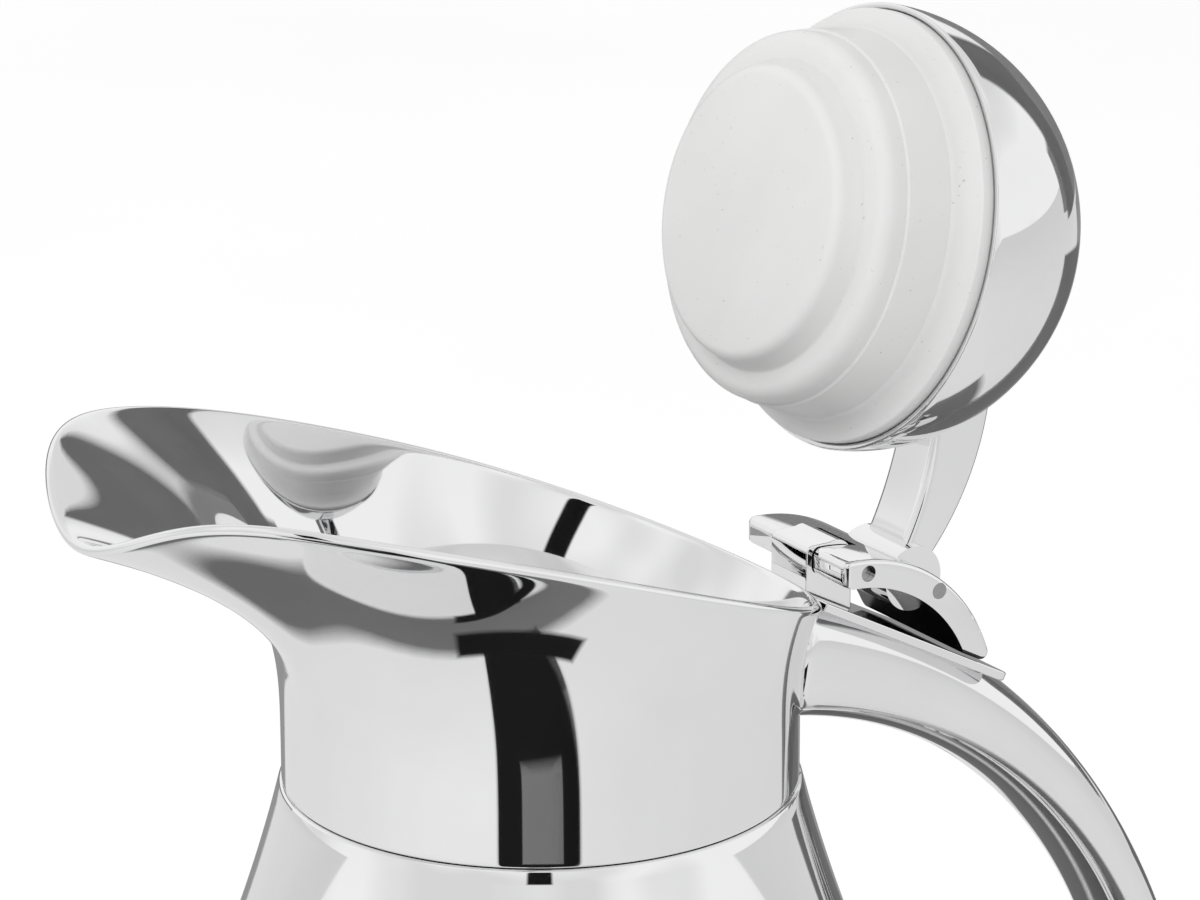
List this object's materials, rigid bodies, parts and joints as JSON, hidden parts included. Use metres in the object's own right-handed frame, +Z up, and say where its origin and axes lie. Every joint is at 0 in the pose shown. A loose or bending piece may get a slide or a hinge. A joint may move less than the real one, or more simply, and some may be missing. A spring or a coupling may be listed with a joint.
{
  "type": "thermal carafe",
  "caption": "Polished steel vacuum carafe with a flared pouring lip, a C-shaped handle and a half-round lid with a white stopper on a thumb lever hinge.",
  "frame": {"origin": "centre of the foot's underside, on the table", "axes": "+Z up along the body's axis, +X towards the handle, -X towards the pouring lip"},
  "size_m": [0.2043, 0.124, 0.2623],
  "materials": {
    "polished_steel": "mirror polished",
    "satin_steel": "satin",
    "pin_steel": "ground",
    "white_stopper": "smooth, slightly translucent",
    "white_foam": "foam",
    "grey_silicone": "matte",
    "dark_rubber": "matte",
    "brass_plug": "plain",
    "getter_metal": "sintered"
  },
  "bodies": {
    "jug": {"outer_shell": "polished_steel", "spout_collar": "polished_steel", "handle_outer": "polished_steel", "handle_inner": "polished_steel", "hinge_plate": "polished_steel", "hinge_lug": "polished_steel", "inner_flask": "satin_steel", "shell_bottom": "satin_steel", "base_cover": "satin_steel", "mouth_ring": "satin_steel", "neck_gasket": "grey_silicone", "foot_pad": "dark_rubber", "vacuum_seal": "brass_plug", "getter": "getter_metal"},
    "lid": {"thumb_lever": "polished_steel", "hinge_pin": "pin_steel", "arm_pin": "pin_steel", "lid_arm": "polished_steel", "lid_dome": "polished_steel", "stopper": "white_stopper", "lid_stud": "satin_steel", "lid_foam": "white_foam"}
  },
  "joints": [
    {"name": "lid_hinge", "type": "hinge", "parent": "jug", "child": "lid", "pos_m": [0.0518, 0, 0.1766], "axis": [0, 1, 0], "range_deg": [-105, 0]}
  ]
}
